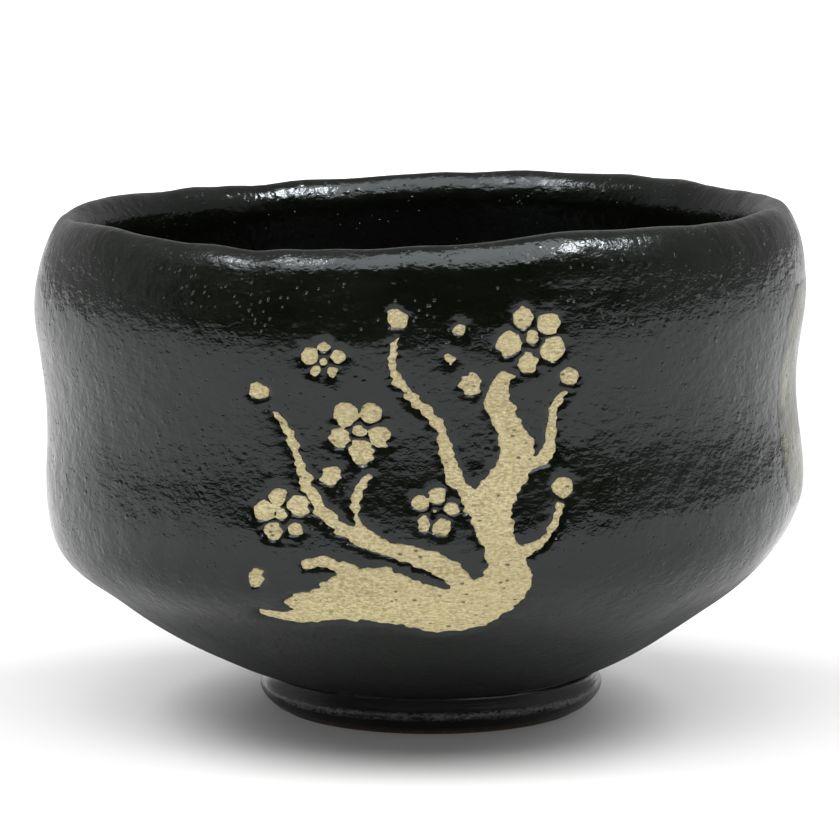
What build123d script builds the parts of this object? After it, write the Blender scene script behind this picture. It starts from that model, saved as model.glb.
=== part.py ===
"""Hand-formed matcha bowl in black glazed ware, as its separate bodies of clay, glaze and pale slip.

Millimetres, +Z up. The origin lies on the table, under the middle of the bowl's widest outline.
-Y is the front, where the slip branch is; +X is the side with the plain slip patch.
"""

from build123d import *
import os
from math import cos, hypot, pi, radians, sin

# ---- driving dimensions --------------------------------------------------------------------
GLAZE = 0.8  # thickness of the black glaze on walls
SEAT_HEIGHT = 6.0  # underside of the clay floor, on top of the foot ring
SEAT_GLAZE_WIDTH = 1.5  # how wide the outer glaze ends on the seat plane
BEARINGS = 24  # profiles round the bowl that carry the wall's surface
STEPS = 40  # even steps along each profile, from the seat over the lip to the pool
DEPTH_SHARE = 0.992  # front-to-back size over side-to-side size
FOOT_SHIFT = 1.7  # the foot's axis stands this far towards +X
FOOT_NECK_RADIUS = 25.9  # clay, where the foot ring meets the seat

# The lip rises and falls round the bowl: (waves per turn, height, bearing of a crest in degrees).
RIM_WAVES = ((1, 1.2, -25), (3, 0.4, -45), (5, 0.25, 5))

# Rings of the glazed surface, from the seat up the outside, over the lip and down the inside:
# (radius, height, lean towards +X, extra height on the +X side, share of the lip's waves)
OUTSIDE_RINGS = (
    (FOOT_NECK_RADIUS + GLAZE, SEAT_HEIGHT, FOOT_SHIFT, 0.0, 0.0),  # seat
    (29.6, 7.3, 0.9, 0.0, 0.0),
    (35.2, 10.0, 0.5, 0.0, 0.0),
    (44.8, 16.0, -0.3, 0.0, 0.0),
    (52.8, 22.0, 0.0, 0.2, 0.0),
    (57.9, 27.3, 0.5, 1.6, 0.0),  # hip
    (60.2, 33.2, 0.8, 1.4, 0.0),
    (59.8, 47.0, 0.4, 0.5, 0.05),  # waist
    (60.3, 57.5, -0.1, 0.5, 0.2),
    (61.3, 66.8, 0.0, 0.8, 0.4),  # belly
    (60.2, 74.2, 0.3, 0.2, 0.8),
    (58.4, 78.5, 0.4, 0.0, 1.0),
)
CREST_RING = (56.2, 80.3, 0.3, 0.0, 1.0)
INSIDE_RINGS = (
    (54.1, 78.9, 0.2, 0.0, 1.0),
    (53.6, 74.6, 0.1, 0.0, 0.9),  # neck
    (55.5, 66.5, 0.0, 0.6, 0.4),
    (54.1, 48.0, 0.3, 0.4, 0.1),
    (53.0, 34.0, 0.6, 1.0, 0.0),
    (47.0, 24.4, 0.4, 0.8, 0.0),
    (36.0, 17.0, 0.3, 0.0, 0.0),
    (24.0, 13.6, 0.6, 0.0, 0.0),  # floor
    (15.5, 12.3, 0.9, 0.0, 0.0),
    (6.5, 11.4, 1.2, 0.0, 0.0),  # tea pool
)
RINGS = (*OUTSIDE_RINGS, CREST_RING, *INSIDE_RINGS)
PARTING_DEPTH = 2.6  # how deep in the wall the parting of inside and outside glaze runs
PARTING_TOP = 90.0
NECK_STEP = 21  # the step that falls in the neck, under the lip

# Foot ring, turned about its own axis.
FOOT_INNER = 21.0  # radius of the well at the table
FOOT_INNER_TOP = 20.0
FOOT_BEARING_OUTER = 24.2  # outer radius of the flat bearing face
FOOT_EDGE = (24.8, 0.7)  # radius and height where the glaze stops above the table
FOOT_RIDGE = (26.7, 3.3)
FOOT_NECK = (FOOT_NECK_RADIUS, SEAT_HEIGHT)
WELL_GLAZE = 0.5
WELL_GLAZE_END = 1.4  # height above the table

# Slip branch, in X and Z on the front: each limb is a list of (x, z, width).
LIMBS = (
    ((-20.4, 26.4, 1.0), (-14.6, 27.0, 6.0), (-5.6, 28.2, 9.4), (4.6, 25.6, 8.0), (13.2, 31.8, 7.2),
     (10.4, 41.6, 6.6), (14.6, 50.0, 5.4), (11.6, 57.4, 3.8), (14.0, 62.6, 1.6)),
    ((7.6, 28.4, 4.0), (-1.0, 35.0, 2.6), (-8.8, 37.4, 2.2), (-16.6, 44.4, 1.6), (-19.0, 51.6, 1.2),
     (-22.8, 56.4, 0.7)),
    ((11.4, 41.4, 4.4), (4.6, 47.6, 2.4), (2.6, 54.6, 1.9), (-2.8, 60.4, 1.4), (-3.2, 67.6, 0.8)),
    ((14.0, 48.6, 3.4), (19.4, 51.2, 1.9), (19.8, 55.8, 1.3), (21.8, 58.6, 0.7)),
    ((-7.2, 37.0, 2.0), (-9.6, 42.4, 1.3), (-7.4, 46.8, 0.7)),
    ((-13.0, 26.0, 3.6), (-20.0, 23.6, 1.8), (-24.8, 24.6, 0.8)),
    ((13.4, 35.0, 2.8), (18.6, 37.2, 1.5), (20.8, 42.0, 0.8)),
    ((-8.6, 29.6, 4.2), (-12.4, 33.4, 2.0), (-17.4, 33.0, 0.8)),
)
# Blossoms: (x, z, radius, turn in degrees).
BLOSSOMS = ((-20.6, 40.4, 4.4, 12), (-9.0, 53.4, 5.0, 40), (2.2, 41.6, 3.7, -10), (16.6, 67.0, 5.4, 25),
            (-14.2, 63.8, 3.5, 0))
# Buds: (x, z, radius).
BUDS = ((-3.4, 70.4, 1.6), (-24.0, 58.8, 1.5), (-13.2, 46.6, 1.3), (22.2, 61.2, 1.3), (7.4, 60.4, 1.7),
        (-24.8, 30.4, 1.3), (21.2, 44.6, 1.5), (5.8, 68.8, 1.2), (4.4, 64.4, 0.9))
PETALS = 5
PETAL_REACH = 0.64  # from a blossom's middle to a petal's, over blossom radius
PETAL_SHARE = 0.31  # mean petal radius over blossom radius
PETAL_UNEVEN = 0.05
STAMEN_SHARE = 0.17
KEYLINE = 0.7  # black gap between a blossom or bud and a limb behind it
CUTTER_SPAN = (30.0, 75.0)  # near and far ends of the window cutters, out from the bowl's axis

# Slip patch on the +X side, in Y and Z.
PATCH_CENTRE = (0.0, 52.5)
PATCH_SIZE = (45.0, 34.5)
PATCH_CORNER = 6.0


# ---- the wall's surfaces ---------------------------------------------------------------------
def section(bearing):
    """The glazed surface's profile at a bearing, as a curve through (radius, lean, height)."""
    wave = sum(height * cos(n * (bearing - radians(peak))) for n, height, peak in RIM_WAVES)
    points = [
        (radius, lean, height + side_rise * cos(bearing) + share * wave)
        for radius, height, lean, side_rise, share in RINGS
    ]
    return Spline(*points)


def sunk_points(profile, depth):
    """Even steps along a profile, moved into the wall by depth; its two ends keep to flat planes."""
    points = []
    for step in range(STEPS + 1):
        point, along = profile.position_at(step / STEPS), profile.tangent_at(step / STEPS)
        points.append((point.X - depth * along.Z, point.Y, point.Z + depth * along.X))
    seat, pool = profile @ 0, profile @ 1
    points[0] = (seat.X - SEAT_GLAZE_WIDTH * depth / GLAZE, seat.Y, seat.Z)
    points[-1] = (pool.X, pool.Y, pool.Z - depth)
    return points


def ring_wires(depth):
    """Closed rings of the surface at a depth in the wall, from the seat to the pool."""
    bearings = [2 * pi * step / BEARINGS for step in range(BEARINGS)]
    columns = [sunk_points(section(bearing), depth) for bearing in bearings]
    even = [step / BEARINGS for step in range(BEARINGS + 1)]
    wires = []
    for ring in zip(*columns):
        points = [
            (radius * cos(bearing) + lean, DEPTH_SHARE * radius * sin(bearing), height)
            for bearing, (radius, lean, height) in zip(bearings, ring)
        ]
        wires.append(Wire([Edge.make_spline(points, periodic=True, parameters=even)]))
    return wires


def bowl_solid(depth):
    """The whole wall and floor, bounded by the surface at a depth under the glaze's skin."""
    return Solid.make_loft(ring_wires(depth))


def inside_plug():
    """A plug that fills the bowl to the middle of its wall, and passes straight up through the lip."""
    wall = ring_wires(PARTING_DEPTH)[:NECK_STEP - 1:-1]
    radius, _, lean, _, _ = CREST_RING
    top = Edge.make_circle(radius, Plane((lean, 0, PARTING_TOP)))
    return Solid.make_loft([*wall, Wire([top])])


# ---- the foot ----------------------------------------------------------------------------------
def turned(profile):
    """A closed profile of (radius, height) edges in the XZ plane, turned about the foot's axis."""
    return revolve(make_face(profile), Axis.Z).moved(Location((FOOT_SHIFT, 0, 0)))


def flank(outward):
    """The foot's outer side, moved outward: from the glaze edge over the ridge to the neck."""
    points = [(radius + outward, 0, height) for radius, height in (FOOT_EDGE, FOOT_RIDGE, FOOT_NECK)]
    return ThreePointArc(*points)


def foot_ring():
    side = flank(0)
    rest = Polyline(side @ 1, (FOOT_INNER_TOP, 0, SEAT_HEIGHT), (FOOT_INNER, 0, 0),
                    (FOOT_BEARING_OUTER, 0, 0), side @ 0)
    return turned([side, *rest.edges()])


def foot_glaze():
    inner, outer = flank(0), flank(GLAZE)
    return turned([inner, outer, Line(inner @ 0, outer @ 0), Line(inner @ 1, outer @ 1)])


def well_glaze():
    slope = (FOOT_INNER - FOOT_INNER_TOP) / SEAT_HEIGHT
    lower = FOOT_INNER - slope * WELL_GLAZE_END
    outline = Polyline((0, 0, SEAT_HEIGHT), (FOOT_INNER_TOP, 0, SEAT_HEIGHT), (lower, 0, WELL_GLAZE_END),
                       (lower - WELL_GLAZE, 0, WELL_GLAZE_END),
                       (FOOT_INNER_TOP + slope * WELL_GLAZE - WELL_GLAZE, 0, SEAT_HEIGHT - WELL_GLAZE),
                       (0, 0, SEAT_HEIGHT - WELL_GLAZE), close=True)
    return turned(outline.edges())


# ---- the slip pieces ---------------------------------------------------------------------------
def limb_face(limb):
    """A limb's outline: two splines, one each side of its middle line, joined at its ends."""
    left, right = [], []
    for i, (x, z, width) in enumerate(limb):
        before, after = limb[max(i - 1, 0)], limb[min(i + 1, len(limb) - 1)]
        dx, dz = after[0] - before[0], after[1] - before[1]
        across = (-dz / hypot(dx, dz) * width / 2, dx / hypot(dx, dz) * width / 2)
        left.append((x + across[0], z + across[1]))
        right.append((x - across[0], z - across[1]))
    return make_face([Spline(*left), Spline(*right), Line(left[0], right[0]), Line(left[-1], right[-1])])


def limbs_face():
    """All limbs as one drawing, held clear of the blossoms and buds in front of them."""
    limbs = limb_face(LIMBS[0])
    for limb in LIMBS[1:]:
        limbs = limbs + limb_face(limb)
    for x, z, radius, *_ in (*BLOSSOMS, *BUDS):
        limbs = limbs - Pos(x, z) * Circle(radius + KEYLINE)
    return limbs


def blossom_face(x, z, radius, turn):
    """Five separate round dabs for petals, no two quite alike, round a dot of stamens."""
    flower = Pos(x, z) * Circle(radius * STAMEN_SHARE)
    for petal in range(PETALS):
        bearing = radians(turn + 360 * petal / PETALS + 90)
        size = radius * (PETAL_SHARE + PETAL_UNEVEN * cos(2 * bearing + turn))
        reach = radius * PETAL_REACH
        flower = flower + Pos(x + reach * cos(bearing), z + reach * sin(bearing)) * Circle(size)
    return flower


def cutter(face, plane):
    """A face drawn on a plane through the bowl's axis, as a prism through the wall on that side."""
    near, far = CUTTER_SPAN
    return extrude(plane.offset(near) * face, far - near, plane.z_dir)


def main():
    os.makedirs("parts", exist_ok=True)
    clay = bowl_solid(GLAZE)
    coat = bowl_solid(0) - clay
    plug = inside_plug()
    outer_coat = coat - plug

    front = Plane.XZ
    side = Plane(origin=(0, 0, 0), x_dir=(0, 1, 0), z_dir=(1, 0, 0))
    windows = {
        "branch_slip": [cutter(limbs_face(), front)],
        "blossom_slip": [cutter(blossom_face(*blossom), front) for blossom in BLOSSOMS],
        "bud_slip": [cutter(Pos(x, z) * Circle(radius), front) for x, z, radius in BUDS],
        "side_patch_slip": [cutter(Pos(*PATCH_CENTRE) * RectangleRounded(*PATCH_SIZE, PATCH_CORNER), side)],
    }
    pieces = {
        name: Compound([solid for window in cutters for solid in (outer_coat & window).solids()])
        for name, cutters in windows.items()
    }
    outer_glaze = outer_coat - [window for cutters in windows.values() for window in cutters]
    pieces.update(
        clay_body=clay, outer_glaze=Compound(list(outer_glaze.solids())), inner_glaze=coat & plug,
        foot_ring=foot_ring(), foot_glaze=foot_glaze(), foot_well_glaze=well_glaze(),
    )
    for name, shape in pieces.items():
        export_step(shape, f"parts/{name}.step")


main()
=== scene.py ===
"""Matcha bowl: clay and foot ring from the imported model, with its glaze coat and slip drawing built on it.

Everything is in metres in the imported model's frame: the bowl stands on z = 0 and its front faces -Y.
Sizes written as "* MM" are millimetres. A bearing is an angle round the bowl, and a climb is the way
along the skin from the seat on the foot ring, up the outside, over the lip and down to the pool's middle.
"""

from math import cos, pi, radians, sin

import bpy
import numpy as np
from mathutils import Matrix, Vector
from mathutils.bvhtree import BVHTree
from mathutils.kdtree import KDTree


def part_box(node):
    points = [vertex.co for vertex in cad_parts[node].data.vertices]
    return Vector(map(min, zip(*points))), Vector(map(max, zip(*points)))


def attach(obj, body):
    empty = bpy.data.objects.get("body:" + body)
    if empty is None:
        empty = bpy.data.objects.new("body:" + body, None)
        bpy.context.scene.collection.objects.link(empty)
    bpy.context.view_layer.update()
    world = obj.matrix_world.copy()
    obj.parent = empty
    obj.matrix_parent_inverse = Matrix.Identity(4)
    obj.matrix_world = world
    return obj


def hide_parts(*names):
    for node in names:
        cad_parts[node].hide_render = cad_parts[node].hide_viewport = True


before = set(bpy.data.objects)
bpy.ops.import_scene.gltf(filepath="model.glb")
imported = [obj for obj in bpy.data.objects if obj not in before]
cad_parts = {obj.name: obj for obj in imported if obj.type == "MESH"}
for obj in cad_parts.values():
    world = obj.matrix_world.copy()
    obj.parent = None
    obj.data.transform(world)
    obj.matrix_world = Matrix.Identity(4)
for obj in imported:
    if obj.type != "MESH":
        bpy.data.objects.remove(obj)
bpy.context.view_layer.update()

# ---- Clay body and foot ring --------------------------------------------------------------------
# Brown stoneware clay, pinched up and carved by hand, with a foot ring turned on under the floor.
# Almost all of it is under glaze: only the flat face that the bowl stands on is left bare.

MM = 0.001


class Lead:
    """A value or colour on its way through a finish's nodes; arithmetic on values adds Math nodes."""

    def __init__(self, socket):
        self.socket = socket

    def node(self, kind, settings=None, sockets=None, output=0):
        """Adds a node to the same finish: its settings first, then its sockets' values or leads."""
        tree = self.socket.id_data
        made = tree.nodes.new("ShaderNode" + kind)
        for name, value in (settings or {}).items():
            setattr(made, name, value)
        for name, value in (sockets or {}).items():
            if isinstance(value, Lead):
                tree.links.new(value.socket, made.inputs[name])
            else:
                made.inputs[name].default_value = value
        return Lead(made.outputs[output])

    def maths(self, operation, first, second):
        return self.node("Math", {"operation": operation}, {0: first, 1: second})

    def __add__(self, other):
        return self.maths("ADD", self, other)

    __radd__ = __add__

    def __mul__(self, other):
        return self.maths("MULTIPLY", self, other)

    __rmul__ = __mul__

    def __sub__(self, other):
        return self.maths("SUBTRACT", self, other)

    def __rsub__(self, other):
        return self.maths("SUBTRACT", other, self)

    def larger(self, other):
        return self.maths("MAXIMUM", self, other)

    def step(self, low, high):
        """0 below low, 1 above high, and smooth between them."""
        return self.node("MapRange", {"interpolation_type": "SMOOTHSTEP"},
                         {"Value": self, "From Min": low, "From Max": high})

    def stretched(self, scale):
        """This place multiplied by a scale on each axis."""
        return self.node("VectorMath", {"operation": "MULTIPLY"}, {0: self, 1: scale})

    def noise(self, waves, detail=2.0, roughness=0.5, seed=0.0):
        """Noise at this place, with waves per millimetre on each axis."""
        place = self.stretched([wave / MM for wave in waves])
        moved = self.node("VectorMath", {"operation": "ADD"}, {0: place, 1: (seed, seed * 1.7, seed * 0.6)})
        return self.node("TexNoise", None, {"Vector": moved, "Scale": 1.0, "Detail": detail,
                                            "Roughness": roughness})

    def cells(self, width, height, seed=0.0):
        """Distance from the nearest of many scattered points, in cells of a width and height in metres."""
        place = self.stretched((1 / width, 1 / width, 1 / height))
        moved = self.node("VectorMath", {"operation": "ADD"}, {0: place, 1: (seed, seed, seed)})
        return self.node("TexVoronoi", None, {"Vector": moved, "Scale": 1.0})

    def mixed(self, first, second):
        """A colour between two, by this value."""
        return self.node("Mix", {"data_type": "RGBA"}, {0: self, 6: first, 7: second}, output=2)

    def bump(self, height, metres):
        """Normals tilted by a height, where a height of 1 stands that many metres proud."""
        return self.node("Bump", None, {"Height": height, "Distance": metres})


def finish_named(name, **constants):
    """A new finish with its shader's steady values set: a lead from the surface's place, and the function
    that links the leads which vary over the surface and gives the material."""
    material = bpy.data.materials.new(name)
    material.use_nodes = True
    tree = material.node_tree
    shader = tree.nodes["Principled BSDF"]
    for socket, value in constants.items():
        shader.inputs[socket.replace("_", " ")].default_value = value
    place = Lead(tree.nodes.new("ShaderNodeTexCoord").outputs["Object"])

    def apply(**leads):
        for socket, lead in leads.items():
            tree.links.new(lead.socket, shader.inputs[socket.replace("_", " ")])
        return material

    return place, apply


place, apply = finish_named("bare_clay", Roughness=0.85)
grit = place.noise((2.2, 2.2, 2.2), detail=5.0, roughness=0.65)
speck = place.noise((5.0, 5.0, 5.0), detail=1.0, seed=3.0).step(0.62, 0.7)
clay_tone = grit.step(0.3, 0.7).mixed((0.16, 0.105, 0.068, 1), (0.27, 0.19, 0.125, 1))
clay = apply(Base_Color=(speck * 0.6).mixed(clay_tone, (0.05, 0.035, 0.028, 1)),
             Normal=place.bump(grit, 0.12 * MM))
for name in ("clay_body", "foot_ring"):
    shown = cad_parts[name]
    shown.data.materials.clear()
    shown.data.materials.append(clay)

# ---- Glaze coat ---------------------------------------------------------------------------------
# One thick black glaze, dipped over the wall inside and out, so it runs unbroken across the lip.
# It pulls back in a rounded edge from each slip shape, and its skin ripples level round the bowl.

# The middle of the clay wall, from the seat over the lip to the pool, and which way its skin lies:
# (radius, height, angle of the way out: -90 down, 0 outward, 90 up, 180 inward)
WALL_CORE = ((25.7, 8.5, -67), (33.9, 12.7, -60), (43.4, 18.5, -57), (50.8, 24.4, -52), (55.0, 29.4, -36),
             (57.0, 35.5, -8), (57.0, 47.0, 0), (57.6, 58.0, 0), (58.4, 67.0, 0), (57.6, 73.4, 14),
             (56.4, 76.6, 45), (56.2, 77.2, 90), (56.0, 76.8, 135), (56.0, 73.4, 172), (57.8, 66.5, 181),
             (56.8, 48.0, 180), (55.6, 34.5, 166), (49.6, 23.4, 132), (37.5, 14.4, 108), (24.0, 11.0, 100),
             (15.5, 9.8, 97), (6.5, 9.0, 92), (0.8, 8.9, 90))
FINE = 20  # samples of the wall between two rows of that list
CORE_ROUNDING = 0.45 * FINE  # samples over which the list's corners are smoothed out
SURVEY_BEARINGS = 96  # bearings at which the CAD's skin is measured
SURVEY_ROUNDING = 0.16 * FINE
HARMONICS = 12  # waves per turn that are kept of what is measured
STAND_OFF = 20 * MM  # how far outside the wall's middle a measuring ray starts


def softened(values, width):
    """A table smoothed down its rows, holding its two ends."""
    reach = int(3 * width)
    weights = np.exp(-0.5 * (np.arange(-reach, reach + 1) / width) ** 2)
    weights /= weights.sum()
    head = 2 * values[:1] - values[reach:0:-1]
    tail = 2 * values[-1:] - values[-2:-reach - 2:-1]
    padded = np.concatenate([head, values, tail])
    return sum(w * padded[i:i + len(values)] for i, w in enumerate(weights))


def between_rows(values, at):
    """Rows of a table read smoothly at fractional row numbers."""
    row = np.clip(np.floor(at).astype(int), 0, len(values) - 2)
    part = (at - row)[:, None]
    before, after = np.maximum(row - 1, 0), np.minimum(row + 2, len(values) - 1)
    a, b, c, d = values[before], values[row], values[row + 1], values[after]
    return b + 0.5 * part * (c - a + part * (2 * a - 5 * b + 4 * c - d + part * (3 * (b - c) + d - a)))


def mesh_points(node):
    """A CAD node's corner points, and its triangles."""
    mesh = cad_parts[node].data
    mesh.calc_loop_triangles()
    return [tuple(v.co) for v in mesh.vertices], [tuple(t.vertices) for t in mesh.loop_triangles]


COAT_NODES = ("outer_glaze", "inner_glaze")
SLIP_NODES = ("branch_slip", "blossom_slip", "bud_slip", "side_patch_slip")
skin_points, skin_faces, face_node = [], [], []
for node in COAT_NODES + SLIP_NODES:
    node_points, node_faces = mesh_points(node)
    skin_faces += [tuple(i + len(skin_points) for i in face) for face in node_faces]
    face_node += [node] * len(node_faces)
    skin_points += node_points
skin_tree = BVHTree.FromPolygons(skin_points, skin_faces)

stations = np.array(WALL_CORE)
fine_steps = np.arange((len(stations) - 1) * FINE + 1) / FINE
core = np.stack([np.interp(fine_steps, np.arange(len(stations)), column) for column in stations.T], axis=1)
core = softened(core, CORE_ROUNDING)
core_r, core_z, core_way = core[:, 0] * MM, core[:, 1] * MM, np.radians(core[:, 2])

# How far the CAD's skin stands off the wall's middle, all over, kept as waves round the bowl.
survey = np.zeros((len(core), SURVEY_BEARINGS))
for column in range(SURVEY_BEARINGS):
    bearing = 2 * pi * column / SURVEY_BEARINGS
    last = 3 * MM  # about half the wall's thickness, until a ray has met the skin
    for row in range(len(core)):
        reach_r, reach_z = cos(core_way[row]), sin(core_way[row])
        way = Vector((reach_r * cos(bearing), reach_r * sin(bearing), reach_z))
        middle = Vector((core_r[row] * cos(bearing), core_r[row] * sin(bearing), core_z[row]))
        hit = skin_tree.ray_cast(middle + way * STAND_OFF, -way, STAND_OFF)
        last = (hit[0] - middle).dot(way) if hit[0] is not None else last
        survey[row, column] = last
waves = np.fft.rfft(survey, axis=1)[:, :HARMONICS + 1] / SURVEY_BEARINGS
waves[:, 1:] *= 2
waves = softened(waves, SURVEY_ROUNDING)


def skin(bearings, rows):
    """A grid of points on the bowl's skin, at wall rows and bearings."""
    turns = np.exp(1j * np.outer(np.arange(HARMONICS + 1), bearings))
    reach = (between_rows(waves, rows) @ turns).real
    radius, height, way = (between_rows(column[:, None], rows) for column in (core_r, core_z, core_way))
    ring = radius + reach * np.cos(way)
    level = height + reach * np.sin(way)
    return np.stack([ring * np.cos(bearings), ring * np.sin(bearings), level + 0 * bearings], axis=2)


def facing(points):
    """Outward unit directions of a grid of points."""
    down, along = np.gradient(points, axis=0), np.gradient(points, axis=1)
    out = np.cross(along, down)
    return out / np.maximum(np.linalg.norm(out, axis=2, keepdims=True), 1e-12)


WALL_RADIUS = 60 * MM  # turns lengths round the bowl into bearings
LONGEST_CLIMB = 230 * MM  # more than the whole climb


def swell(bearings, climbs, length_round, length_up, seed):
    """Smooth unevenness of about unit height over a grid of climbs and bearings, in lumps of a length."""
    around = max(6, int(round(2 * pi * WALL_RADIUS / length_round)))
    up = int(LONGEST_CLIMB / length_up) + 4
    lattice = np.random.RandomState(seed).normal(0, 1.14, (up, around))
    u = (bearings / (2 * pi) % 1) * around
    v = climbs / length_up
    i, j = np.floor(u).astype(int), np.floor(v).astype(int)
    part_u, part_v = u - i, (v - j)[:, None]

    def spline_weights(f):
        return ((1 - f) ** 3 / 6, (3 * f**3 - 6 * f**2 + 4) / 6,
                (-3 * f**3 + 3 * f**2 + 3 * f + 1) / 6, f**3 / 6)

    return sum(
        weight_v * weight_u * lattice[(j + a)[:, None] % up, (i + b) % around]
        for a, weight_v in enumerate(spline_weights(part_v))
        for b, weight_u in enumerate(spline_weights(part_u))
    )


def uneven(bearings, climbs, kinds):
    """Unevenness in metres, added up from kinds of lump: (height, length round, length up, seed), in mm."""
    return sum(height * MM * swell(bearings, climbs, length_round * MM, length_up * MM, seed)
               for height, length_round, length_up, seed in kinds)


profile = skin(np.array([-pi / 2]), np.arange(len(core), dtype=float))[:, 0]
climb = np.concatenate([[0], np.cumsum(np.linalg.norm(np.diff(profile, axis=0), axis=1))])
lip_row = int(np.argmax(profile[:, 2]))


def rows_along(start, end, pitch):
    """Wall rows from one climb to another, about a pitch apart."""
    count = max(2, int(round((end - start) / pitch)))
    return np.interp(np.linspace(start, end, count, endpoint=False), climb, np.arange(len(climb)))


def climb_at_height(height):
    """The climb at which the outside of the wall reaches a height."""
    return np.interp(height, profile[:lip_row, 2], climb[:lip_row])


# The slip shapes: their outlines are read from the CAD solids' outer faces, as points close together.
OUTLINE_PITCH = 0.12 * MM
MOST_OUTLINE_POINTS = 200000
SMALLEST_CROSS = 1e-14  # of two sides of a face, under which the face is a sliver
OUTER_FACE = 0.6  # least cosine between an outer face's way out and the bowl's radius
outline = KDTree(MOST_OUTLINE_POINTS)
outline_node = []
for node in SLIP_NODES:
    node_points, node_faces = mesh_points(node)
    edge_uses = {}
    for face in node_faces:
        a, b, c = (Vector(node_points[i]) for i in face)
        out = (b - a).cross(c - a)
        radial = Vector((a.x, a.y, 0))
        if out.length < SMALLEST_CROSS or out.normalized().dot(radial.normalized()) < OUTER_FACE:
            continue
        corners = [tuple(round(x, 7) for x in p) for p in (a, b, c)]
        for start, end in zip(corners, corners[1:] + corners[:1]):
            key = (min(start, end), max(start, end))
            edge_uses[key] = edge_uses.get(key, 0) + 1
    for (start, end), uses in edge_uses.items():
        if uses != 1:
            continue
        start, end = Vector(start), Vector(end)
        length = (end - start).length
        for part in range(int(length / OUTLINE_PITCH) + 1):
            share = min(1, part * OUTLINE_PITCH / max(length, 1e-9))
            outline.insert(start.lerp(end, share), len(outline_node))
            outline_node.append(node)
outline.balance()

FAR = 5 * MM  # distances from a slip shape are not followed further than this
FRONT = -pi / 2  # the bearing of the bowl's front


def slip_distance(points, normals, wanted):
    """How far each wanted grid point is outside the nearest slip shape (negative inside), and which it is."""
    distance = np.full(points.shape[:2], FAR)
    owner = np.full(points.shape[:2], "", dtype=object)
    for row, column in zip(*np.nonzero(wanted)):
        point, out = Vector(points[row, column]), Vector(normals[row, column])
        _, index, gap = outline.find(point)
        owner[row, column] = outline_node[index]
        hit = skin_tree.ray_cast(point + out * MM, -out, 2 * MM)
        if hit[0] is not None and face_node[hit[2]] in SLIP_NODES:
            owner[row, column] = face_node[hit[2]]
            gap = -gap
        distance[row, column] = max(-FAR, min(FAR, gap))
    return distance, owner


# Lumps, in millimetres: (height, length round, length up, seed).
CREEP = ((0.27, 1.3, 0.45, 11), (0.17, 0.7, 0.34, 12), (0.20, 4, 1.6, 13))
DENTS_AND_RIPPLES = ((0.16, 22, 15, 1), (0.08, 9, 7, 2), (0.034, 6, 4, 3), (0.011, 2.4, 1.7, 4))
LIP_WANDER = ((0.34, 12, 1, 5), (0.26, 4.5, 1, 6))
LIP_REACH = 6 * MM  # how far down each side of the lip its wander fades out
ROLL_HEIGHT, ROLL_BELOW, ROLL_REACH = 0.5 * MM, 4.2 * MM, 2.4 * MM  # the soft roll under the front lip
POOL_REACH = 22 * MM  # how far from the pool's middle the relief has faded in


def ragged(bearings, climbs):
    """How far the glaze's edge creeps in and out, in metres: mostly level tongues, some coarse."""
    return uneven(bearings, climbs, CREEP)


def relief(bearings, climbs):
    """The glaze skin's real relief: hand-formed dents, level ripples and a soft wander along the lip."""
    from_lip = climbs - climb[lip_row]
    lip = uneven(bearings, 0 * climbs, LIP_WANDER) * np.exp(-(from_lip / LIP_REACH) ** 2)[:, None]
    towards_front = np.clip(np.cos(bearings - FRONT), 0, 1) ** 2
    roll = ROLL_HEIGHT * np.exp(-((from_lip + ROLL_BELOW) / ROLL_REACH) ** 2)[:, None] * towards_front
    from_middle = np.clip((climb[-1] - climbs) / POOL_REACH, 0, 1)[:, None]
    whole = uneven(bearings, climbs, DENTS_AND_RIPPLES) + lip + roll
    return whole * from_middle ** 2 * (3 - 2 * from_middle)


DRAWING_SINK = 0.40 * MM  # how far the slip drawing lies below the glaze's skin
PATCH_LAP = 1.6 * MM  # how far the glaze runs on under the side patch, which is flush with it
COAT_DEPTH = 0.70 * MM  # the glaze's full thickness under its skin
ROUNDING = 1.5 * MM  # how wide the glaze's rounded edge is
DIVE = 1.3  # how steeply the glaze goes down under a slip shape


def glaze_lift(distance, sink):
    """Height of the glaze's skin near a slip shape: it rounds down to its edge, then dives under it."""
    shoulder = -sink * (1 - np.clip(distance / ROUNDING, 0, 1)) ** 2
    return np.where(distance > 0, shoulder, np.maximum(-sink + DIVE * distance, -COAT_DEPTH))


def new_piece(name, points, faces, material, stands_for):
    """A smooth mesh piece that rides on the bowl."""
    mesh = bpy.data.meshes.new(name)
    mesh.from_pydata([tuple(p) for p in points], [], faces)
    mesh.validate()
    for polygon in mesh.polygons:
        polygon.use_smooth = True
    mesh.materials.append(material)
    piece = bpy.data.objects.new(name, mesh)
    bpy.context.scene.collection.objects.link(piece)
    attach(piece, "root")
    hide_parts(*stands_for)
    return piece


coarse = 1.0
front_span, side_span = radians(26), radians(24)  # the drawing's and the side patch's half widths
DRAWN_PITCH, SIDE_PITCH, PLAIN_PITCH = (coarse * pitch * MM for pitch in (0.34, 1.1, 2.6))


def bearings_along(start, end, pitch):
    """Bearings from one to another, about a pitch apart along the wall."""
    count = max(2, int(round((end - start) * WALL_RADIUS / pitch)))
    return list(np.linspace(start, end, count, endpoint=False))


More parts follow.
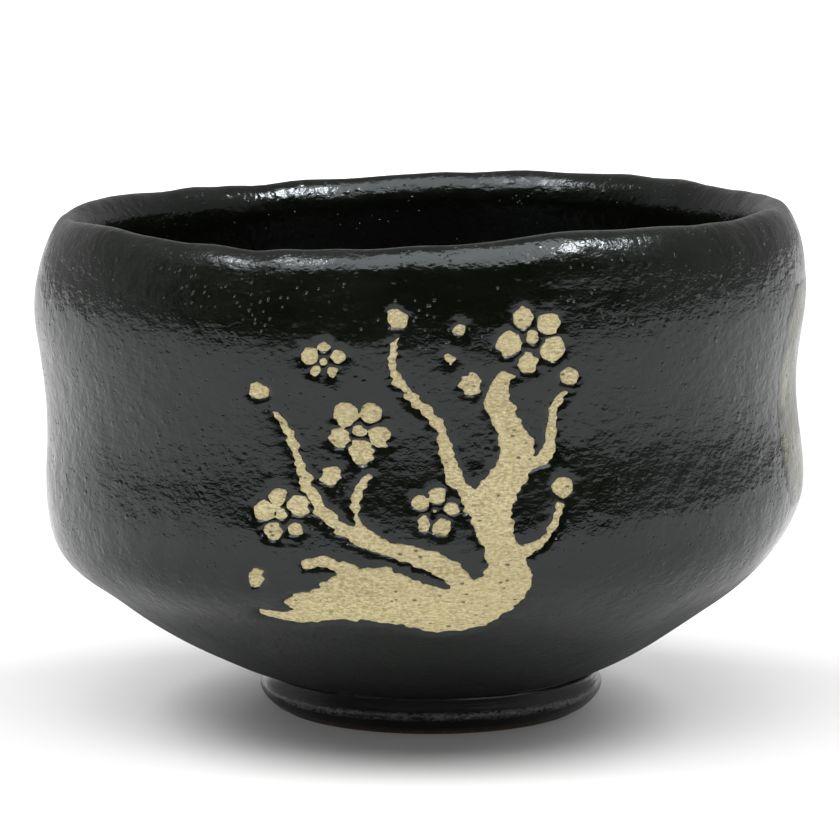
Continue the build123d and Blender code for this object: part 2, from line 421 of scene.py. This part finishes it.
bearings = np.array(
    bearings_along(FRONT - front_span, FRONT + front_span, DRAWN_PITCH)
    + bearings_along(FRONT + front_span, -side_span, PLAIN_PITCH)
    + bearings_along(-side_span, side_span, SIDE_PITCH)
    + bearings_along(side_span, FRONT - front_span + 2 * pi, PLAIN_PITCH)
)
low, high = climb_at_height(19.5 * MM), climb_at_height(74.5 * MM)  # the slip shapes lie between these
lip_start, lip_end = climb[lip_row] - LIP_REACH, climb[lip_row] + LIP_REACH
stretches = ((0, low, 0.9), (low, high, 0.34), (high, lip_start, 0.6), (lip_start, lip_end, 0.42),
             (lip_end, climb[-1], 2.3))  # (start, end, pitch in millimetres)
rows = np.concatenate([rows_along(start, end, pitch * MM * coarse) for start, end, pitch in stretches]
                      + [[len(core) - 1.0]])
climbs = np.interp(rows, np.arange(len(climb)), climb)
bare = skin(bearings, rows)
outward = facing(np.concatenate([bare[:, -1:], bare, bare[:, :1]], axis=1))[:, 1:-1]
on_front = np.abs(bearings - FRONT) < front_span
on_side = np.abs(bearings) < side_span
wanted = np.outer((climbs > low) & (climbs < high), on_front | on_side)
distance, owner = slip_distance(bare, outward, wanted)
on_patch = owner == "side_patch_slip"
sink = np.where(on_patch, 0, DRAWING_SINK)
edge = distance + np.where(wanted, ragged(bearings, climbs), 0)
near_slip = distance < 0.99 * FAR
lift = relief(bearings, climbs) + np.where(near_slip, glaze_lift(edge + PATCH_LAP * on_patch, sink), 0)
coat_points = bare + lift[..., None] * outward

# The coat is closed by a back a little deeper than the glaze, on fewer rows.
BACK_PITCH = 5.2 * MM  # close enough that the straight back stays under the curved skin
BACK_DEPTH = COAT_DEPTH + 0.08 * MM
count_rows, count_round = coat_points.shape[:2]
back_rows = np.unique(np.searchsorted(climbs, np.linspace(0, climbs[-1], int(climbs[-1] / BACK_PITCH) + 1)))
back_points = bare[back_rows] - BACK_DEPTH * outward[back_rows]
vertices = [*coat_points.reshape(-1, 3), *back_points.reshape(-1, 3)]
vertices += [coat_points[-1].mean(axis=0), back_points[-1].mean(axis=0)]
front_middle, back_middle = len(vertices) - 2, len(vertices) - 1
back = count_rows * count_round
last_front, last_back = back - count_round, back + (len(back_rows) - 1) * count_round
faces = []
for here in range(count_round):
    there = (here + 1) % count_round
    for ring in range(0, last_front, count_round):
        faces.append((ring + here, ring + there, ring + count_round + there, ring + count_round + here))
    for ring in range(back, last_back, count_round):
        faces.append((ring + there, ring + here, ring + count_round + here, ring + count_round + there))
    faces.append((there, here, back + here, back + there))
    faces.append((last_front + here, last_front + there, front_middle))
    faces.append((last_back + there, last_back + here, back_middle))


def glaze_skin(place):
    """The glaze's small relief, its pits, and how much of it is dull: (normal, pit, roughness)."""
    lumps = place.noise((0.30, 0.30, 0.36), detail=1.0, seed=1.0)
    streak = place.noise((0.45, 0.45, 1.3), detail=2.0, roughness=0.55, seed=2.0)
    peel = place.noise((1.1, 1.1, 1.35), detail=2.0, roughness=0.55, seed=4.0)
    calm = place.noise((0.06, 0.06, 0.10), detail=2.0, seed=8.0).step(0.40, 0.60)
    pocked = place.noise((0.16, 0.16, 0.16), detail=2.0, seed=6.0)
    pores = place.cells(1.3 * MM, 1.1 * MM)
    chance = Lead(pores.socket.node.outputs["Color"])  # one value for each cell, turned grey where it is used
    pit = (1 - (pores * (1.6 - 0.5 * chance)).step(0.07, 0.30)) * (pocked + 0.10 * chance).step(0.53, 0.66)
    blister = (1 - place.cells(2.3 * MM, 2.0 * MM, seed=5.0).step(0.05, 0.30)) * (1 - pocked.step(0.42, 0.58))
    height = lumps * 3.6 + streak * (0.35 + 1.2 * calm) + peel * 1.7 + blister * 1.2 - pit * 2.8
    normal = place.bump(height, 0.055 * MM)
    above_table = place.node("SeparateXYZ", None, {"Vector": place}, output=2)
    underside = 1 - above_table.step(14 * MM, 30 * MM)
    return normal, pit, 0.10 + 0.08 * calm + 0.08 * peel + 0.15 * pit + 0.45 * underside


place, apply = finish_named("black_glaze", IOR=1.455, Specular_Tint=(0.90, 0.95, 1.0, 1))
normal, pit, roughness = glaze_skin(place)
cloud = place.noise((0.12, 0.12, 0.3), detail=3.0, roughness=0.6, seed=5.0)
tone = cloud.step(0.35, 0.7).mixed((0.0036, 0.0046, 0.0025, 1), (0.0062, 0.0074, 0.0046, 1))
tone = (pit * 0.4).mixed(tone, (0.024, 0.024, 0.018, 1))
glaze = apply(Base_Color=tone, Roughness=roughness, Normal=normal)
new_piece("glaze_coat", vertices, faces, glaze, COAT_NODES)

# ---- Slip branch, blossoms, buds and side patch ---------------------------------------------------
# Coarse pale slip, trailed and brushed on the raw clay; the glaze draws away from it in the fire, so
# it stays matt and sandy, with smoother grains whose pale cream colour is a painted glint. The patch
# on the side is the same slip, but there the glaze ran over it and lies flush, so that it shows
# through as a dim olive.

place, apply = finish_named("sandy_slip", IOR=1.45)
grain = place.noise((1.5, 1.5, 3.0), detail=3.0, roughness=0.65)
level_grain = place.noise((0.7, 0.7, 2.6), detail=2.0, seed=2.0)
wash = place.noise((0.12, 0.12, 0.2), detail=2.0, seed=5.0)
# Smoother grains, scattered in patches: their lower roughness is real, their pale cream colour is a painted
# glint.
glint_grain_spread = place.noise((0.6, 0.6, 0.8), detail=0.0, seed=9.0).step(0.46, 0.56)
grain_and_painted_glint = (1 - place.cells(0.8 * MM, 0.5 * MM).step(0.14, 0.30)) * glint_grain_spread
hole = (1 - place.cells(1.9 * MM, 1.1 * MM, seed=3.0).step(0.10, 0.24)) * wash.step(0.42, 0.52)
slip_tone = grain.step(0.36, 0.64).mixed((0.43, 0.345, 0.155, 1), (0.73, 0.64, 0.375, 1))
slip_tone = (wash.step(0.35, 0.65) * 0.35).mixed(slip_tone, (0.61, 0.52, 0.275, 1))
slip_tone = (level_grain.step(0.58, 0.70) * 0.55).mixed(slip_tone, (0.25, 0.20, 0.09, 1))
slip_tone = (hole * 0.8).mixed(slip_tone, (0.06, 0.05, 0.03, 1))
# Where the grains lie, the pale cream mixed into the colour is a painted glint.
slip = apply(
    Base_Color=(grain_and_painted_glint * 0.8).mixed(slip_tone, (0.90, 0.83, 0.60, 1)),
    Roughness=0.72 - 0.5 * grain_and_painted_glint,
    Normal=place.bump(grain * 1.2 + level_grain + grain_and_painted_glint * 0.7 - hole, 0.20 * MM),
)


SAND = ((0.085, 1.2, 0.42, 21), (0.045, 0.5, 0.36, 22))  # (height, length round, length up, seed), in mm
PROUD = 0.04 * MM  # how far the slip's face stands over where the glaze's edge stops


def slip_pieces(bearings, rows, nodes, sink, rim_slope, coarseness, material):
    """Grids over part of the wall, cut to the slip shapes, with sandy faces and backs against the clay.

    Outside its shape a face runs on down under the glaze at rim_slope, so that no gap shows at its rim.
    """
    climbs = np.interp(rows, np.arange(len(climb)), climb)
    bare = skin(bearings, rows)
    outward = facing(bare)
    distance, owner = slip_distance(bare, outward, np.ones(bare.shape[:2], bool))
    edge = distance + ragged(bearings, climbs)
    sand = coarseness * uneven(bearings, climbs, SAND)
    height = relief(bearings, climbs) - sink + PROUD + sand - np.clip(edge, 0, None) * rim_slope
    front = bare + height[..., None] * outward
    rear = bare + np.minimum(height - 0.12 * MM, PROUD - COAT_DEPTH)[..., None] * outward
    rim_reach = max(0.55 * MM, 0.27 * MM / rim_slope)
    for node in nodes:
        kept = (edge < rim_reach) & (owner == node)
        cell = kept[:-1, :-1] & kept[1:, :-1] & kept[:-1, 1:] & kept[1:, 1:]
        number = -np.ones(kept.shape, int)
        used = np.zeros(kept.shape, bool)
        for dr in (0, 1):
            for dc in (0, 1):
                used[dr:used.shape[0] - 1 + dr, dc:used.shape[1] - 1 + dc] |= cell
        number[used] = np.arange(used.sum())
        total = int(used.sum())
        faces = []
        for row, column in zip(*np.nonzero(cell)):
            a, b = number[row, column], number[row, column + 1]
            c, d = number[row + 1, column + 1], number[row + 1, column]
            faces += [(a, b, c, d), (a + total, d + total, c + total, b + total)]
            if row == 0 or not cell[row - 1, column]:
                faces.append((b, a, a + total, b + total))
            if row == cell.shape[0] - 1 or not cell[row + 1, column]:
                faces.append((d, c, c + total, d + total))
            if column == 0 or not cell[row, column - 1]:
                faces.append((a, d, d + total, a + total))
            if column == cell.shape[1] - 1 or not cell[row, column + 1]:
                faces.append((c, b, b + total, c + total))
        piece = new_piece(node.replace("_slip", "_drawing"), [*front[used], *rear[used]], faces, material,
                          (node,))
        inside = piece.data.attributes.new("inside", "FLOAT", "POINT")
        inside.data.foreach_set("value", np.tile(np.clip(-edge[used] / MM, 0, 10), 2))


slip_pitch, patch_pitch = 0.19 * MM * coarse, 0.475 * MM * coarse
slip_pieces(np.array(bearings_along(FRONT - front_span, FRONT + front_span, slip_pitch)),
            rows_along(low, high, slip_pitch), SLIP_NODES[:3],
            sink=DRAWING_SINK, rim_slope=1.2, coarseness=1.0, material=slip)

place, apply = finish_named("glazed_slip", IOR=1.455, Specular_Tint=(0.90, 0.95, 1.0, 1))
normal, pit, roughness = glaze_skin(place)
shade = place.noise((0.05, 0.05, 0.09), detail=4.0, roughness=0.6, seed=7.0)
olive = shade.step(0.35, 0.65).mixed((0.046, 0.044, 0.015, 1), (0.080, 0.077, 0.031, 1))
# The slip thins out unevenly towards the patch's edge: "inside" is how far inside it a point is, in mm.
inside_edge = place.node("Attribute", {"attribute_name": "inside"}, output=2)
showing = (inside_edge + 12 * place.noise((0.11, 0.11, 0.09), detail=3.0, seed=3.0) - 6.8).step(0.0, 2.2)
showing = showing * inside_edge.step(0.0, 0.8)
olive = (pit * 0.6).mixed(olive, (0.01, 0.01, 0.006, 1))
glazed_slip = apply(Base_Color=showing.mixed((0.0034, 0.0042, 0.0026, 1), olive),
                    Roughness=roughness + 0.08, Normal=normal)
slip_pieces(np.array(bearings_along(-side_span, side_span, patch_pitch)),
            rows_along(climb_at_height(32 * MM), climb_at_height(73 * MM), patch_pitch), SLIP_NODES[3:],
            sink=0, rim_slope=0.15, coarseness=0.1, material=glazed_slip)

# ---- Foot glaze and well glaze ------------------------------------------------------------------
# The same black glaze runs down over the foot ring and up into the well under the bowl.
# It is wiped off the standing edge, and a thin grey line, rougher than the rest, is coloured along the ring's
# ridge.

TURNED_STEPS = 240  # round the foot


def turned_piece(node, name, face_line, back_line, wobble, material):
    """A closed line of (radius, height) in millimetres, turned about the foot's axis: along its face, which
    runs out of true by up to wobble, and back along the clay."""
    lowest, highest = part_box(node)
    axis_x, axis_y = (lowest[0] + highest[0]) / 2, (lowest[1] + highest[1]) / 2
    section = [(*place, wobble) for place in face_line] + [(*place, 0) for place in back_line]
    points, faces = [], []
    for step in range(TURNED_STEPS):
        bearing = 2 * pi * step / TURNED_STEPS
        throw = 0.5 * sin(3 * bearing + 1) + 0.3 * sin(7 * bearing + 2) + 0.2 * sin(13 * bearing)
        here, there = step * len(section), (step + 1) % TURNED_STEPS * len(section)
        for i, (radius, height, loose) in enumerate(section):
            slack = loose * throw
            points.append((axis_x + (radius + slack) * MM * cos(bearing),
                           axis_y + (radius + slack) * MM * sin(bearing), (height + 0.5 * slack) * MM))
            j = (i + 1) % len(section)
            faces.append((here + i, there + i, there + j, here + j))
    return new_piece(name, points, faces, material, (node,))


place, apply = finish_named("foot_glaze", IOR=1.5)
foot_grain = place.noise((0.25, 0.25, 0.8), detail=3.0, roughness=0.6)
above_table = place.node("SeparateXYZ", None, {"Vector": place}, output=2) * (1 / MM)
band = above_table.step(2.5, 3.1) * (1 - above_table.step(3.5, 4.2))
# The grey ridge line: a grey colour put on a band of height all round the foot, broken up by noise.
grey_ridge_line = band * foot_grain.step(0.35, 0.60) * place.noise((1.6, 1.6, 2.6), detail=2.0, seed=4.0).step(0.36, 0.56)
foot_streak = place.noise((0.4, 0.4, 2.2), detail=3.0, seed=2.0)
foot_tone = foot_streak.step(0.3, 0.75).mixed((0.0045, 0.0047, 0.0036, 1), (0.010, 0.010, 0.008, 1))
foot_finish = apply(
    Base_Color=(grey_ridge_line * 0.9).mixed(foot_tone, (0.15, 0.155, 0.15, 1)),
    Roughness=0.2 + 0.3 * grey_ridge_line + 0.1 * foot_grain,
    Normal=place.bump(foot_streak + foot_grain * 0.5, 0.05 * MM),
)
flank = [(25.55, 0.75), (26.25, 1.35), (26.95, 2.1), (27.4, 2.85), (27.52, 3.4), (27.42, 3.95), (27.15, 4.55),
         (26.85, 5.2), (26.66, 5.75), (26.6, 6.1)]
flank_back = [(25.9, 6.1), (26.4, 4.6), (26.6, 3.3), (25.9, 1.6), (24.85, 0.75)]
turned_piece("foot_glaze", "foot_ring_glaze", flank, flank_back, 0.12, foot_finish)

ceiling = [(0.4, 5.45), (6, 5.42), (12, 5.4), (17, 5.42), (18.8, 5.3), (19.35, 4.9), (19.75, 3.9),
           (20.1, 2.4), (20.3, 1.5)]
ceiling_back = [(20.75, 1.42), (20.4, 3.6), (20.0, 5.95), (0.4, 5.95)]
turned_piece("foot_well_glaze", "foot_well_coat", ceiling, ceiling_back, 0.1, foot_finish)

# ---- Floor, light and camera --------------------------------------------------------------------
# A seamless pale table under a soft overhead light, with the room in front of it dark:
# the glaze mirrors the white table, the dark room above it, and the light over the lip.

FLAG_EDGE = -0.40  # a dark card lies on the table's front from here on, where only the glaze sees it
SHEET_REACH = 6  # half the width of the table


def sheet_of(name, near, far, height):
    """A wide level sheet between two distances along Y, kept out of the object."""
    mesh = bpy.data.meshes.new(name)
    corners = ((-SHEET_REACH, near), (SHEET_REACH, near), (SHEET_REACH, far), (-SHEET_REACH, far))
    mesh.from_pydata([(x, y, height) for x, y in corners], [], [(0, 1, 2, 3)])
    made = bpy.data.objects.new(name, mesh)
    bpy.context.scene.collection.objects.link(made)
    return made


place, apply = finish_named("table_paper", Roughness=0.9, Emission_Strength=1.0)
paper = place.noise((0.02, 0.02, 0.02), detail=1.0).mixed((0.86, 0.86, 0.86, 1), (0.88, 0.88, 0.88, 1))
# Only to the eye, the paper glows, painted light: faintly near the bowl, which lightens its shadow there,
# and far from the bowl up to plain white, as is the wall behind it. The glow is not seen in the glaze and
# lights nothing.
away = place.node("VectorMath", {"operation": "LENGTH"}, {0: place}, output=1)
painted_glow = away.step(0.35, 1.4).mixed((0.04, 0.04, 0.04, 1), (1, 1, 1, 1))
table_paper = apply(Base_Color=paper, Emission_Color=place.node("LightPath").mixed((0, 0, 0, 1), painted_glow))
table = sheet_of("table", FLAG_EDGE, 8, 0)
table_front = sheet_of("table_front", -SHEET_REACH, FLAG_EDGE, 0)
table_front.visible_glossy = False
flag = sheet_of("dark_card", -SHEET_REACH, FLAG_EDGE, 2 * MM)
flag.visible_camera = flag.visible_diffuse = flag.visible_shadow = False
place, apply = finish_named("dark_cloth", Base_Color=(0.004, 0.004, 0.004, 1), Roughness=1.0)
flag.data.materials.append(apply())
for sheet in (table, table_front):
    sheet.data.materials.append(table_paper)

world = bpy.data.worlds.new("studio")
bpy.context.scene.world = world
world.use_nodes = True
sky = world.node_tree
way = Lead(sky.nodes.new("ShaderNodeTexCoord").outputs["Generated"])
across, forward = (way.node("SeparateXYZ", None, {"Vector": way}, output=i) for i in range(2))
to_right = across.step(-0.2, 0.2)
side_walls = forward.step(-0.55, 0.15) * (1 - to_right) * 0.38 + forward.step(-0.60, -0.25) * to_right * 0.33
room = side_walls.larger(forward.step(0.1, 0.6) * 0.35)
seen_directly = way.node("LightPath")
sky.links.new(room.larger(seen_directly).socket, sky.nodes["Background"].inputs["Color"])


def softbox(name, place, aim, size, radiance, mirrored=True):
    """A rectangular light at a place, facing a point, as bright as radiance times white paper.

    It is either seen in the glaze without lighting anything, or lights everything without being seen in it.
    """
    lamp = bpy.data.lights.new(name, "AREA")
    lamp.shape, lamp.size, lamp.size_y = "RECTANGLE", *size
    lamp.energy = 4 * radiance * size[0] * size[1]
    made = bpy.data.objects.new(name, lamp)
    made.location = place
    made.rotation_euler = (Vector(aim) - Vector(place)).to_track_quat("-Z", "Y").to_euler()
    made.visible_glossy, made.visible_diffuse, lamp.use_shadow = mirrored, not mirrored, not mirrored
    bpy.context.scene.collection.objects.link(made)


softbox("overhead_light", (-0.08, -0.47, 1.1), (-0.08, -0.30, 0), (1.5, 0.75), 2.3, mirrored=False)
softbox("left_fill", (-1.44, 0.36, 1.64), (0, 0, 0), (1.8, 0.9), 5.0, mirrored=False)
softbox("right_fill", (1.44, 0.36, 1.64), (0, 0, 0), (1.8, 0.9), 5.0, mirrored=False)
softbox("overhead_mirror", (-0.10, -0.62, 1.2), (-0.10, -0.62, 0), (2.2, 1.1), 2.9)
softbox("left_glint", (-0.57, -0.23, 0.98), (0, 0, 0.06), (0.13, 0.09), 42)
softbox("right_glint", (0.64, -0.30, 1.00), (0, 0, 0.06), (0.36, 0.20), 28)

CAMERA_BACK, CAMERA_HIGH, CAMERA_DOWN = 0.714, 0.157, radians(8.84)
SENSOR_WIDTH, FOCAL_LENGTH = 36, 193.37
lens = bpy.data.cameras.new("camera")
lens.sensor_width, lens.lens = SENSOR_WIDTH, FOCAL_LENGTH
camera = bpy.data.objects.new("camera", lens)
camera.location = (0, -CAMERA_BACK, CAMERA_HIGH)
camera.rotation_euler = (pi / 2 - CAMERA_DOWN, 0, 0)
bpy.context.scene.collection.objects.link(camera)
bpy.context.scene.camera = camera
bpy.context.scene.view_settings.view_transform = "Standard"
